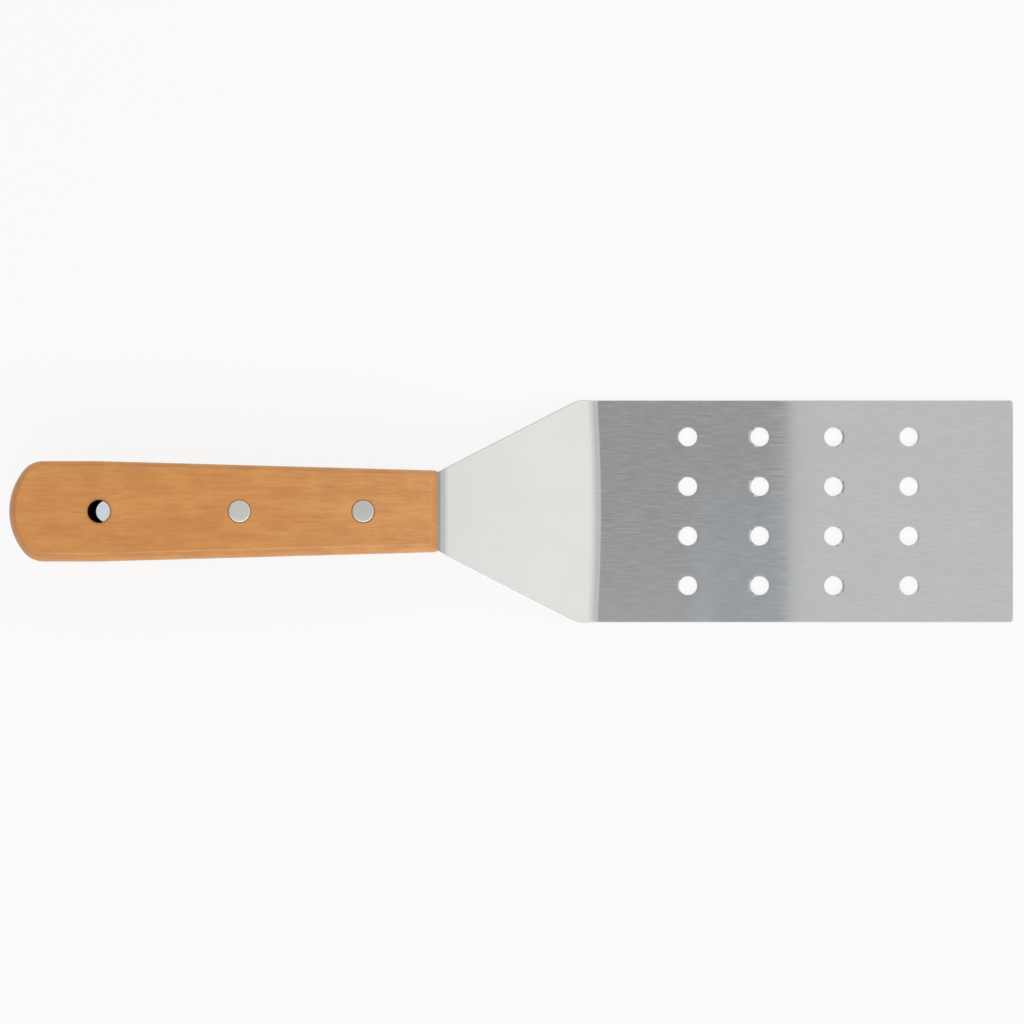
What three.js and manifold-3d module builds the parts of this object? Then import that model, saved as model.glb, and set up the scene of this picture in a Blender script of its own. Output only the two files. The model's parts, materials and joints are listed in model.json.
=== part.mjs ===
// Grill turner: a perforated stainless blade with a cranked neck and a flat tang,
// riveted into the saw slot of a one-piece hardwood handle.
// Millimetres. +X runs from the handle to the blade's tip and +Z is up.
// The blade lies flat on Z = 0, and the origin is on that plane, halfway along the tool.

import * as THREE from 'three';
import { mergeVertices } from 'three/addons/utils/BufferGeometryUtils.js';
import Module from 'manifold-3d';

// Whole tool
const OVERALL_LENGTH = 321.2;
const TIP_X = OVERALL_LENGTH / 2;
const BUTT_X = -OVERALL_LENGTH / 2;
const FIT_GAP = 0.3;          // room left between two pieces that meet

// Sheet: blade, neck and tang are one blank
const SHEET = 1.5;
const BLADE_WIDTH = 72;
const TIP_CORNER_RADIUS = 1;
const HEEL_X = 24.7;          // where the planes of blade and neck cross
const HEEL_RADIUS = 11;       // both bend radii are to the middle of the sheet
const MOUTH_RADIUS = 8;
const SHOULDER_X = 19.4;      // where the blade's sides turn in to the neck
const SHOULDER_RADIUS = 3;
const CRANK = 19;             // how far the tang stands above the blade

// Perforations
const HOLE_DIAMETER = 6;
const HOLE_COLUMNS_X = [55.1, 78.4, 102.2, 126.8];
const HOLE_ROWS = 4;
const HOLE_ROW_PITCH = 16.1;

// Handle
const HANDLE_LENGTH = 135.2;
const HANDLE_THICKNESS = 16;
const BUTT_WIDTH = 31.7;
const FRONT_WIDTH = 25.8;
const EDGE_CHAMFER = 2.2;
const BUTT_RADIUS = 20.5;
const BUTT_SHOULDER_RADIUS = 8;
const HANGING_HOLE_DIAMETER = 7.1;
const HANGING_HOLE_FROM_BUTT = 28.8;

// Tang
const MOUTH_WIDTH = 25.2;     // the neck's width where it enters the handle
const TANG_WIDTH = 19;
const TANG_TAPER_LENGTH = 9;
const TANG_PAST_RIVET = 11;
const TANG_CORNER_RADIUS = 4;

// Two-part compression rivets
const RIVETS_FROM_FRONT = { front: 23.4, rear: 62.3 };
const RIVET_HEAD_DIAMETER = 7.2;
const RIVET_HEAD_HEIGHT = 2;
const RIVET_HEAD_ROUND = 0.35;
const RIVET_PROUD = 0.15;     // how far a head stands above the wood
const SOCKET_DIAMETER = 5;
const SOCKET_BORE_DIAMETER = 3.5;
const SOCKET_LENGTH = 12.5;
const SOCKET_BORE_DEPTH = 10.5;
const STUD_DIAMETER = 2.9;
const STUD_LENGTH = 12.5;
const STUD_POINT = 0.8;

// Worked out from the driving dimensions
const FRONT_X = BUTT_X + HANDLE_LENGTH;
const TANG_Z = SHEET / 2 + CRANK;
const HANGING_HOLE_X = BUTT_X + HANGING_HOLE_FROM_BUTT;
const REAR_RIVET_X = FRONT_X - RIVETS_FROM_FRONT.rear;
const TANG_END_X = REAR_RIVET_X - TANG_PAST_RIVET;
const MOUTH_X = FRONT_X + 2;  // where the planes of neck and tang cross
const NECK_ANGLE = Math.atan2(CRANK, HEEL_X - MOUTH_X);
const PAST = 5;               // how far a cutting tool runs past a face

const steel = new THREE.MeshStandardMaterial({ color: 0xb8babb, roughness: 0.35, metalness: 1 });
const wood = new THREE.MeshStandardMaterial({ color: 0xcf8e55, roughness: 0.55, metalness: 0 });
const rivetMetal = new THREE.MeshStandardMaterial({ color: 0xc5c5c1, roughness: 0.45, metalness: 1 });

const wasm = await Module();
wasm.setup();

function toSolid(geometry) {
  geometry.deleteAttribute('normal');
  geometry.deleteAttribute('uv');
  const merged = mergeVertices(geometry, 1e-4);
  return new wasm.Manifold(new wasm.Mesh({
    numProp: 3,
    vertProperties: merged.attributes.position.array,
    triVerts: new Uint32Array(merged.index.array),
  }));
}

function toMesh(name, solid, material) {
  const { vertProperties, triVerts } = solid.getMesh();
  const geometry = new THREE.BufferGeometry();
  geometry.setAttribute('position', new THREE.BufferAttribute(vertProperties, 3));
  geometry.setIndex(new THREE.BufferAttribute(triVerts, 1));
  geometry.computeVertexNormals();
  const mesh = new THREE.Mesh(geometry, material);
  mesh.name = name;
  return mesh;
}

// A closed shape through [x, y, radius] corners, each rounded by an arc of its radius.
function filletedShape(corners) {
  const shape = new THREE.Shape();
  corners.forEach(([x, y, radius], i) => {
    const corner = new THREE.Vector2(x, y);
    const before = new THREE.Vector2(...corners.at(i - 1));
    const after = new THREE.Vector2(...corners[(i + 1) % corners.length]);
    const back = before.sub(corner).normalize();
    const on = after.sub(corner).normalize();
    const half = Math.acos(back.dot(on)) / 2;
    const bisector = back.clone().add(on).normalize();
    const centre = corner.clone().addScaledVector(bisector, radius / Math.sin(half));
    const start = corner.clone().addScaledVector(back, radius / Math.tan(half)).sub(centre);
    const end = corner.clone().addScaledVector(on, radius / Math.tan(half)).sub(centre);
    const clockwise = back.cross(on) > 0;
    shape.absarc(centre.x, centre.y, radius, start.angle(), end.angle(), clockwise);
  });
  return shape;
}

// Extrudes a plan outline between two heights.
function slab(shape, bottom, top, curveSegments) {
  const depth = top - bottom;
  const geometry = new THREE.ExtrudeGeometry(shape, { depth, curveSegments, bevelEnabled: false });
  return toSolid(geometry.translate(0, 0, bottom));
}

// A vertical cylinder between two heights.
function post(diameter, x, y, bottom, top, segments) {
  const length = top - bottom;
  const geometry = new THREE.CylinderGeometry(diameter / 2, diameter / 2, length, segments);
  return toSolid(geometry.rotateX(Math.PI / 2).translate(x, y, bottom + length / 2));
}

// Turns a [radius, height] profile about the vertical axis.
function turned(profile, segments) {
  const points = profile.map(([radius, height]) => new THREE.Vector2(radius, height));
  return toSolid(new THREE.LatheGeometry(points, segments).rotateX(Math.PI / 2));
}

// The bent strip, from the side: flat blade, heel bend, sloping neck, mouth bend, flat tang.
function bentStrip() {
  const half = SHEET / 2;
  const down = -Math.PI / 2;
  const up = Math.PI / 2;
  const bendLength = (radius) => radius * Math.tan(NECK_ANGLE / 2);
  const heel = { x: HEEL_X + bendLength(HEEL_RADIUS), z: half + HEEL_RADIUS };
  const mouth = { x: MOUTH_X - bendLength(MOUTH_RADIUS), z: TANG_Z - MOUTH_RADIUS };

  const side = new THREE.Shape();
  side.moveTo(TIP_X, 0);
  side.lineTo(heel.x, 0);
  side.absarc(heel.x, heel.z, HEEL_RADIUS + half, down, down - NECK_ANGLE, true);
  side.absarc(mouth.x, mouth.z, MOUTH_RADIUS - half, up - NECK_ANGLE, up, false);
  side.lineTo(TANG_END_X, TANG_Z - half);
  side.lineTo(TANG_END_X, TANG_Z + half);
  side.absarc(mouth.x, mouth.z, MOUTH_RADIUS + half, up, up - NECK_ANGLE, true);
  side.absarc(heel.x, heel.z, HEEL_RADIUS - half, down - NECK_ANGLE, down, false);
  side.lineTo(TIP_X, SHEET);

  const depth = BLADE_WIDTH + 2 * PAST;
  const geometry = new THREE.ExtrudeGeometry(side, { depth, curveSegments: 5, bevelEnabled: false });
  return toSolid(geometry.rotateX(up).translate(0, depth / 2, 0));
}

// The blank, from above: blade, tapering neck and narrower tang.
function blankOutline() {
  const taperEndX = FRONT_X - TANG_TAPER_LENGTH;
  const upperSide = [
    [TIP_X, BLADE_WIDTH / 2, TIP_CORNER_RADIUS],
    [SHOULDER_X, BLADE_WIDTH / 2, SHOULDER_RADIUS],
    [FRONT_X, MOUTH_WIDTH / 2, SHOULDER_RADIUS],
    [taperEndX, TANG_WIDTH / 2, SHOULDER_RADIUS],
    [TANG_END_X, TANG_WIDTH / 2, TANG_CORNER_RADIUS],
  ];
  const lowerSide = upperSide.map(([x, y, radius]) => [x, -y, radius]).reverse();
  return filletedShape([...upperSide, ...lowerSide]);
}

function bladePerforations() {
  const holes = [];
  for (const x of HOLE_COLUMNS_X) {
    for (let row = 0; row < HOLE_ROWS; row++) {
      const y = (row - (HOLE_ROWS - 1) / 2) * HOLE_ROW_PITCH;
      holes.push(post(HOLE_DIAMETER, x, y, -PAST, SHEET + PAST, 32));
    }
  }
  return holes;
}

function turnerBlade() {
  let blade = bentStrip().intersect(slab(blankOutline(), -PAST, TANG_Z + PAST, 4));
  for (const hole of bladePerforations()) {
    blade = blade.subtract(hole);
  }
  for (const fromFront of Object.values(RIVETS_FROM_FRONT)) {
    const x = FRONT_X - fromFront;
    blade = blade.subtract(post(SOCKET_DIAMETER + 2 * FIT_GAP, x, 0, TANG_Z - PAST, TANG_Z + PAST, 32));
  }
  return toMesh('turner_blade', blade, steel);
}

// The handle, from above: a straight taper, parallel from the hanging hole back, and a round butt
// whose arc runs into the sides through a smaller one.
function handleOutline() {
  const buttHalf = BUTT_WIDTH / 2;
  const frontHalf = FRONT_WIDTH / 2;
  const shoulderY = buttHalf - BUTT_SHOULDER_RADIUS;
  const turn = Math.asin(shoulderY / (BUTT_RADIUS - BUTT_SHOULDER_RADIUS));
  const buttCentreX = BUTT_X + BUTT_RADIUS;
  const shoulderX = buttCentreX - (BUTT_RADIUS - BUTT_SHOULDER_RADIUS) * Math.cos(turn);
  const left = Math.PI;
  const up = Math.PI / 2;

  const shape = new THREE.Shape();
  shape.moveTo(FRONT_X, -frontHalf);
  shape.lineTo(FRONT_X, frontHalf);
  shape.lineTo(HANGING_HOLE_X, buttHalf);
  shape.absarc(shoulderX, shoulderY, BUTT_SHOULDER_RADIUS, up, left - turn, false);
  shape.absarc(buttCentreX, 0, BUTT_RADIUS, left - turn, left + turn, false);
  shape.absarc(shoulderX, -shoulderY, BUTT_SHOULDER_RADIUS, left + turn, left + up, false);
  shape.lineTo(HANGING_HOLE_X, -buttHalf);
  return shape;
}

// The handle is drawn about its own mid height, which is the middle of the tang.
function handleBody() {
  const geometry = new THREE.ExtrudeGeometry(handleOutline(), {
    depth: HANDLE_THICKNESS - 2 * EDGE_CHAMFER,
    curveSegments: 6,
    bevelSegments: 1,
    bevelSize: EDGE_CHAMFER,
    bevelOffset: -EDGE_CHAMFER,
    bevelThickness: EDGE_CHAMFER,
  });
  return toSolid(geometry.translate(0, 0, EDGE_CHAMFER - HANDLE_THICKNESS / 2));
}

function tangSlot() {
  const height = SHEET + 2 * FIT_GAP;
  const endX = TANG_END_X - FIT_GAP;
  const length = FRONT_X + PAST - endX;
  const geometry = new THREE.BoxGeometry(length, BUTT_WIDTH + 2 * PAST, height);
  return toSolid(geometry.translate(endX + length / 2, 0, 0));
}

// A through bore for the rivet's socket, opened out at both faces for the heads.
function rivetBore() {
  const face = HANDLE_THICKNESS / 2 + PAST;
  const seat = HANDLE_THICKNESS / 2 + RIVET_PROUD - RIVET_HEAD_HEIGHT - FIT_GAP;
  const headRadius = RIVET_HEAD_DIAMETER / 2 + FIT_GAP;
  const shankRadius = SOCKET_DIAMETER / 2 + FIT_GAP;
  return turned([
    [0, -face],
    [headRadius, -face],
    [headRadius, -seat],
    [shankRadius, -seat],
    [shankRadius, seat],
    [headRadius, seat],
    [headRadius, face],
    [0, face],
  ], 40);
}

function handle() {
  const face = HANDLE_THICKNESS / 2 + PAST;
  let body = handleBody().subtract(tangSlot());
  body = body.subtract(post(HANGING_HOLE_DIAMETER, HANGING_HOLE_X, 0, -face, face, 40));
  for (const fromFront of Object.values(RIVETS_FROM_FRONT)) {
    body = body.subtract(rivetBore().translate([FRONT_X - fromFront, 0, 0]));
  }
  return toMesh('handle', body, wood);
}

// The upper half of a rivet: a low round-edged head on a solid pin that points down.
function rivetStud(name) {
  const top = HANDLE_THICKNESS / 2 + RIVET_PROUD;
  const headRadius = RIVET_HEAD_DIAMETER / 2;
  const pinRadius = STUD_DIAMETER / 2;
  const solid = turned([
    [0, top - STUD_LENGTH],
    [pinRadius - STUD_POINT / 2, top - STUD_LENGTH],
    [pinRadius, top - STUD_LENGTH + STUD_POINT],
    [pinRadius, top - RIVET_HEAD_HEIGHT],
    [headRadius, top - RIVET_HEAD_HEIGHT],
    [headRadius, top - RIVET_HEAD_ROUND],
    [headRadius - RIVET_HEAD_ROUND, top],
    [0, top],
  ], 32);
  return toMesh(name, solid, rivetMetal);
}

// The lower half: the same head on a tube that the stud is pressed into.
function rivetSocket(name) {
  const bottom = -HANDLE_THICKNESS / 2 - RIVET_PROUD;
  const headRadius = RIVET_HEAD_DIAMETER / 2;
  const solid = turned([
    [0, bottom],
    [headRadius - RIVET_HEAD_ROUND, bottom],
    [headRadius, bottom + RIVET_HEAD_ROUND],
    [headRadius, bottom + RIVET_HEAD_HEIGHT],
    [SOCKET_DIAMETER / 2, bottom + RIVET_HEAD_HEIGHT],
    [SOCKET_DIAMETER / 2, bottom + SOCKET_LENGTH],
    [SOCKET_BORE_DIAMETER / 2, bottom + SOCKET_LENGTH],
    [SOCKET_BORE_DIAMETER / 2, bottom + SOCKET_LENGTH - SOCKET_BORE_DEPTH],
    [0, bottom + SOCKET_LENGTH - SOCKET_BORE_DEPTH],
  ], 32);
  return toMesh(name, solid, rivetMetal);
}

function rivet(place, fromFront) {
  const group = new THREE.Group();
  group.position.x = FRONT_X - fromFront;
  group.add(rivetStud(`${place}_rivet_stud`), rivetSocket(`${place}_rivet_socket`));
  return group;
}

// The handle and its rivets, raised to the height of the tang.
function handleAssembly() {
  const group = new THREE.Group();
  group.position.z = TANG_Z;
  group.add(handle());
  for (const [place, fromFront] of Object.entries(RIVETS_FROM_FRONT)) {
    group.add(rivet(place, fromFront));
  }
  return group;
}

const turner = new THREE.Group();
turner.add(turnerBlade(), handleAssembly());

export default turner;
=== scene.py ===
"""Grill turner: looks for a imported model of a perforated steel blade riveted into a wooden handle.

Laid out as an add-on and run as a script. Each operator makes one piece or one group of like
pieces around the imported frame, and the last one makes the floor, the lights and the camera.
Lengths are in metres, +X runs from the handle to the blade's tip, and the blade lies on Z = 0.
"""

import json
import math

import bmesh
import bpy
import numpy as np
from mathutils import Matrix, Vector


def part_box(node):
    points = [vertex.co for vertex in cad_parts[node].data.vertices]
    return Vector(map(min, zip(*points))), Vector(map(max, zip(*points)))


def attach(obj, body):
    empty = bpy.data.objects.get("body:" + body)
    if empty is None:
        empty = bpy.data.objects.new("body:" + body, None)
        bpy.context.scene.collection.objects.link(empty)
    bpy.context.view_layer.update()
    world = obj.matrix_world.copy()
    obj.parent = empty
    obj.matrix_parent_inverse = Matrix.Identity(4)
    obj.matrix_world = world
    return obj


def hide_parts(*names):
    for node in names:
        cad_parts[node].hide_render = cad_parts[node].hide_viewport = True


bl_info = {
    "name": "Grill Turner",
    "version": (1, 0, 0),
    "blender": (4, 5, 0),
    "location": "3D View > Sidebar > Grill Turner",
    "description": "Builds a riveted grill turner around its packed CAD frame",
    "category": "Object",
}

MM = 0.001

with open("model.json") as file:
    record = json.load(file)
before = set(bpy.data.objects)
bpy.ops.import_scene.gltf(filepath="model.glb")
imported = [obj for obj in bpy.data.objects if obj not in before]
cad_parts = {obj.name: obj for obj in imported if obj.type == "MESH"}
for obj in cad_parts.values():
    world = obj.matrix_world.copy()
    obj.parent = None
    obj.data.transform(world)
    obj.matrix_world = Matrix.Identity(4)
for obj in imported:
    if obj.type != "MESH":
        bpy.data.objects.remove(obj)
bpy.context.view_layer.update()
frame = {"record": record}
BLADE_LOW, BLADE_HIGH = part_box("turner_blade")
HANDLE_LOW, HANDLE_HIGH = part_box("handle")
HANDLE_MIDDLE_Z = (HANDLE_LOW.z + HANDLE_HIGH.z) / 2
HANDLE_HALF_HEIGHT = (HANDLE_HIGH.z - HANDLE_LOW.z) / 2
STUD_HIGH_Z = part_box("front_rivet_stud")[1].z
HANGING_BOX = frame["record"]["physics"]["openings"][0]["box_m"]
HANGING_HOLE_X = (HANGING_BOX[0][0] + HANGING_BOX[1][0]) / 2


def middle_x(node):
    """Where a node's centre lies along the tool."""
    low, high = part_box(node)
    return (low.x + high.x) / 2


FRONT_RIVET_X = middle_x("front_rivet_stud")
REAR_RIVET_X = middle_x("rear_rivet_stud")

# The sheet is a grid of lines, and each hole sits in a square cell of it.
GRID_SPACING = 2.5 * MM
BLADE_CELL = 6.0 * MM       # half a cell's width
TANG_CELL = 4.5 * MM
CELL_STEPS = 12             # gaps between the lines across a cell
WELD = 0.002 * MM           # points of the sheet and of a cell that are closer become one

TURNED_STEPS = 96           # faces round a turned shape
AXIS_GAP = 0.2 * MM         # a turned profile stops this short of its axis, and is closed flat
BROKEN_EDGE = 0.1 * MM      # the small chamfer on a rivet's hidden edges
CUT_PAST = 4.0 * MM         # how far a cutter runs past the face that it opens

# A sanded edge, from the face to the side: each arc's first and last tilt in degrees, and the
# share of the edge's width that it takes up.
EDGE_ARCS = ((0, 35, 0.22), (35, 55, 0.65), (55, 90, 0.13))

# The flat sheets of light over the tool: name, edges along X, height, radiance and tint. They
# overlap past the tip, and what the steel mirrors brightens from one to the next: the blade's
# end is under the first, and the sloping neck under all of them.
WHITE, CREAM, IVORY = (1.0, 1.0, 1.0), (1.0, 1.0, 0.95), (1.0, 1.0, 0.85)
LIGHT_SHEETS = (
    ("over_blade", 0.147, 1.1, 0.55, 0.295, WHITE),
    ("past_tip", 0.30, 1.1, 0.57, 0.16, CREAM),
    ("over_neck", 0.58, 1.7, 0.90, 0.10, IVORY),
    ("far_neck", 0.68, 1.8, 0.93, 0.10, IVORY),
    ("near_heel", 0.80, 1.9, 0.96, 0.035, IVORY),
    ("over_heel", 0.89, 2.0, 0.99, 0.035, IVORY),
)
LIGHT_SHEET_WIDTH = 1.4

# The other panels: name, place, turn in degrees, size, radiance and tint.
LIGHT_PANELS = (
    ("cool_fill", (0.120, -0.14, 0.53), (0, 0, 0), (0.050, 0.28), 0.095, (0.25, 0.65, 1.0)),
    ("low_fill", (0.062, -0.16, 0.51), (0, 0, 0), (0.080, 0.24), 0.10, (0.85, 0.92, 1.0)),
    ("front", (-0.1, -0.65, 0.85), (37, 0, 0), (1.6, 0.6), 1.75, WHITE),
    ("back", (-0.1, 0.65, 0.85), (-37, 0, 0), (1.6, 0.6), 0.75, WHITE),
    ("butt_end", (-0.75, 0, 0.85), (0, -41, 0), (0.6, 1.2), 0.1, WHITE),
)


def from_hex(code):
    """A linear colour from an sRGB hex value."""
    channels = [int(code[i:i + 2], 16) / 255 for i in (0, 2, 4)]
    return tuple(c / 12.92 if c <= 0.04045 else ((c + 0.055) / 1.055) ** 2.4 for c in channels)


# ---------------------------------------------------------------- settings

def length(name, description, millimetres):
    """A length that a user may change, given in millimetres and kept in metres."""
    return bpy.props.FloatProperty(
        name=name, description=description, default=millimetres * MM,
        subtype="DISTANCE", unit="LENGTH", precision=5)


def colour(name, description, code):
    """A colour that a user may change, given as an sRGB hex value."""
    return bpy.props.FloatVectorProperty(
        name=name, description=description, default=from_hex(code),
        subtype="COLOR", size=3, min=0, max=1)


def strength(name, description, value):
    """A strength of light that a user may change."""
    return bpy.props.FloatProperty(name=name, description=description, default=value, min=0)


class BladeSettings(bpy.types.PropertyGroup):
    sheet: length("Sheet", "Thickness of the stainless sheet", 1.5)
    edge_round: length("Edge round", "Radius that the cut edges are tumbled to", 0.15)
    tip_corner: length("Tip corner", "Radius of the two corners at the tip", 1.0)
    heel_x: length("Heel", "Where the planes of blade and neck cross", 24.2)
    heel_radius: length("Heel radius", "Bend radius at the heel", 15.0)
    heel_bow: length("Heel bow", "How far the heel's bend line bows towards the tip", 1.1)
    mouth_reach: length("Mouth reach", "How far in front of the handle the sheet bends", 0.85)
    mouth_radius: length("Mouth radius", "Bend radius at the handle", 13.0)
    shoulder_x: length("Shoulder", "Where the sides turn in to the neck", 19.4)
    mouth_width: length("Mouth width", "Width of the neck where it enters the handle", 25.2)
    tang_width: length("Tang width", "Width of the tang in the handle", 19.0)
    tang_taper: length("Tang taper", "How far into the handle the tang still narrows", 9.0)
    tang_corner: length("Tang corner", "Radius of the corners at the tang's end", 4.0)
    hole_diameter: length("Hole diameter", "Diameter of a perforation", 6.0)
    hole_deburr: length("Hole deburr", "Rounding of the rims of each hole", 0.12)
    rivet_hole: length("Rivet hole", "Diameter of the holes for the rivets", 5.3)
    column_x: length("First column", "Centre of the first column of perforations", 55.1)
    column_pitch: length("Column pitch", "Spacing of the columns at the heel", 23.0)
    column_growth: length("Pitch growth", "How much the spacing grows towards the tip", 0.3)
    row_pitch: length("Row pitch", "Spacing of the rows of perforations", 16.1)
    columns: bpy.props.IntProperty(
        name="Columns", description="Columns of perforations", default=4, min=1)
    rows: bpy.props.IntProperty(
        name="Rows", description="Rows of perforations", default=4, min=1)
    steel: colour("Steel", "Colour that the brushed steel reflects", "dadada")
    haze: colour("Haze", "Colour of the light that deep scratches scatter", "f9f9f8")


class HandleSettings(bpy.types.PropertyGroup):
    butt_radius: length("Butt radius", "Radius of the round end", 20.5)
    butt_shoulder: length("Butt shoulder", "Radius where the end meets the sides", 8.0)
    front_width: length("Front width", "Width at the blade's end", 25.8)
    back_chamfer: length("Back chamfer", "Width of the chamfer along the +Y side", 1.7)
    near_chamfer: length("Near chamfer", "Width of the chamfer along the -Y side", 3.0)
    butt_chamfer: length("Butt chamfer", "Width of the chamfer round the butt", 2.9)
    front_chamfer: length("Front chamfer", "Width of the chamfer at the blade's end", 2.3)
    front_corner: length("Front corner", "Rounding of the two corners at the blade's end", 1.0)
    hole_diameter: length("Hole diameter", "Diameter of the hanging hole", 6.9)
    hole_round: length("Hole round", "Rounding of the hanging hole's rims", 0.2)
    saw_gap: length("Saw gap", "Room between the saw cut and the tang", 0.1)
    saw_end_gap: length("Saw end gap", "Room between the saw cut's end and the tang's", 0.5)
    rivet_gap: length("Rivet gap", "Room between the side of a rivet's head and the wood", 0.03)
    seat_gap: length("Seat gap", "Room between a rivet's head and its seat", 0.05)
    shank_gap: length("Shank gap", "Room between a rivet's tube and the wood", 0.15)
    wood: colour("Wood", "Colour of the plain beech", "e49f4f")
    front_tone: colour("Front tone", "Colour of the paler wood towards the blade", "f0b26c")
    front_tone_start: length("Front tone start", "Where along the tool the wood starts to pale", -105.0)
    grain: colour("Grain", "Colour of the darker growth bands", "c47534")
    fleck: colour("Fleck", "Colour of the short ray flecks", "a35e2b")
    # Painted shade: the near-black colour of the hanging hole's wall.
    char: colour("Hole shade", "Colour of the burnt wall of the hanging hole", "3a2a22")


class RivetSettings(bpy.types.PropertyGroup):
    head_diameter: length("Head diameter", "Diameter of a rivet's head", 7.3)
    head_height: length("Head height", "Height of a rivet's head", 2.0)
    head_round: length("Head round", "Rounding of a head's rim", 0.65)
    head_dome: length("Head dome", "How far a head's middle stands above its rim", 0.05)
    pin_diameter: length("Pin diameter", "Diameter of the solid pin", 2.9)
    pin_point: length("Pin point", "Length of the pin's tapered end", 0.8)
    stud_length: length("Stud length", "Length of the upper half", 12.5)
    tube_diameter: length("Tube diameter", "Outside diameter of the tube", 5.0)
    bore_diameter: length("Bore diameter", "Inside diameter of the tube", 3.2)
    bore_depth: length("Bore depth", "Depth of the tube's bore", 10.5)
    metal: colour("Metal", "Colour that the rivets reflect", "eae9e4")


class StageSettings(bpy.types.PropertyGroup):
    camera_height: length("Camera height", "Height of the camera over the table", 836.5)
    camera_x: length("Camera X", "Place of the camera along the tool", -2.0)
    camera_y: length("Camera Y", "Place of the camera across the tool", -0.2)
    lens: bpy.props.FloatProperty(
        name="Lens", description="Focal length in millimetres", default=90.47, min=10)
    floor_size: length("Floor size", "Width of the square floor", 16000.0)
    floor: colour("Floor", "Colour of the light that comes through the floor", "fbfbfb")
    floor_glow: strength("Floor glow", "Strength of the light that comes through it", 0.89)
    floor_top: colour("Floor top", "Colour of the floor's matt top", "616161")
    # The painted shadow under the handle: the colour that the floor's light takes there.
    painted_shadow: colour("Painted shadow", "Colour of that light under the handle", "cdd6de")
    shade_edge: length("Shade edge", "Width over which the shade under the handle fades", 14.0)
    sky: colour("Sky", "Colour of the light that comes from everywhere", "ffffff")
    sky_glow: strength("Sky glow", "Strength of the light that comes from everywhere", 0.375)


# ---------------------------------------------------------------- shared tools

def add(tree, kind, links=None, **settings):
    """Adds a node, sets its properties, and links or fills its inputs by name or number.

    A socket is linked, a node is linked by its first output, and any other value is set.
    """
    node = tree.nodes.new(kind)
    for key, value in settings.items():
        setattr(node, key, value)
    for key, value in (links or {}).items():
        if isinstance(value, bpy.types.Node):
            value = value.outputs[0]
        if isinstance(value, bpy.types.NodeSocket):
            tree.links.new(value, node.inputs[key])
        else:
            node.inputs[key].default_value = value
    return node


def make_object(name, mesh):
    """Links a mesh into the scene as an object at the origin."""
    obj = bpy.data.objects.new(name, mesh)
    bpy.context.scene.collection.objects.link(obj)
    return obj


def mesh_from(name, vertices, faces):
    """A mesh from points and faces, its faces turned to point outwards."""
    mesh = bpy.data.meshes.new(name)
    mesh.from_pydata([tuple(v) for v in vertices], [], faces)
    shape = bmesh.new()
    shape.from_mesh(mesh)
    bmesh.ops.remove_doubles(shape, verts=shape.verts, dist=1e-7)
    bmesh.ops.recalc_face_normals(shape, faces=shape.faces)
    shape.to_mesh(mesh)
    shape.free()
    return mesh


def loft(name, rings, capped=True):
    """A mesh through rings of points, with a face over the first ring and the last if capped."""
    count = len(rings[0])
    last = (len(rings) - 1) * count
    faces = [tuple(range(count)), tuple(range(last, last + count))] if capped else []
    for ring in range(len(rings) - 1):
        for i in range(count):
            j = (i + 1) % count
            faces.append((ring * count + i, ring * count + j,
                          (ring + 1) * count + j, (ring + 1) * count + i))
    return mesh_from(name, np.concatenate(rings), faces)


def turned(name, profile):
    """A mesh turned about the vertical axis from a profile of (radius, height) off the axis."""
    angles = np.arange(TURNED_STEPS) * 2 * math.pi / TURNED_STEPS
    rings = [np.stack([radius * np.cos(angles), radius * np.sin(angles),
                       np.full(TURNED_STEPS, height)], axis=1) for radius, height in profile]
    return loft(name, rings)


def arc(centre, radius, start, end, steps):
    """Points (u, v) along an arc, from one angle in degrees to another, both ends included."""
    angles = np.radians(np.linspace(start, end, steps + 1))
    return [(centre[0] + radius * math.cos(a), centre[1] + radius * math.sin(a)) for a in angles]


def baked_in(obj, name):
    """The object with its modifiers applied, as a plain mesh object; the first one is removed."""
    evaluated = obj.evaluated_get(bpy.context.evaluated_depsgraph_get())
    mesh = bpy.data.meshes.new_from_object(evaluated)
    mesh.name = name
    bpy.data.objects.remove(obj)
    return make_object(name, mesh)


def shaded(obj, degrees):
    """The object shaded smooth: flat faces stay flat, and edges past the angle stay sharp."""
    obj.data.shade_smooth()
    obj.data.set_sharp_from_angle(angle=math.radians(degrees))
    weights = obj.modifiers.new("Face weighted normals", "WEIGHTED_NORMAL")
    weights.keep_sharp = True
    return baked_in(obj, obj.name)


def stand_for(piece, slot, *nodes):
    """Rides a finished piece on the tool's one body in place of its CAD nodes."""
    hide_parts(*nodes)
    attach(piece, "root")


def new_group(name, sockets):
    """A geometry node group with a Geometry in and out and the named inputs."""
    tree = bpy.data.node_groups.new(name, "GeometryNodeTree")
    tree.is_modifier = True
    tree.interface.new_socket("Geometry", in_out="OUTPUT", socket_type="NodeSocketGeometry")
    tree.interface.new_socket("Geometry", in_out="INPUT", socket_type="NodeSocketGeometry")
    for socket, kind in sockets.items():
        tree.interface.new_socket(socket, in_out="INPUT", socket_type=kind)
    return tree


def run_group(obj, tree, values):
    """Adds the group to an object as a modifier, and sets its inputs by their identifiers."""
    modifier = obj.modifiers.new(tree.name, "NODES")
    modifier.node_group = tree
    for item in tree.interface.items_tree:
        if item.in_out == "INPUT" and item.name in values:
            modifier[item.identifier] = values[item.name]
    return modifier


# ---------------------------------------------------------------- materials

def new_material(name):
    """An empty material, its node tree, and its object coordinates in millimetres."""
    material = bpy.data.materials.new(name)
    material.use_nodes = True
    tree = material.node_tree
    tree.nodes.clear()
    place = add(tree, "ShaderNodeTexCoord").outputs["Object"]
    return material, tree, add(tree, "ShaderNodeVectorMath", {
        0: place, "Scale": 1 / MM}, operation="SCALE")


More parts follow.
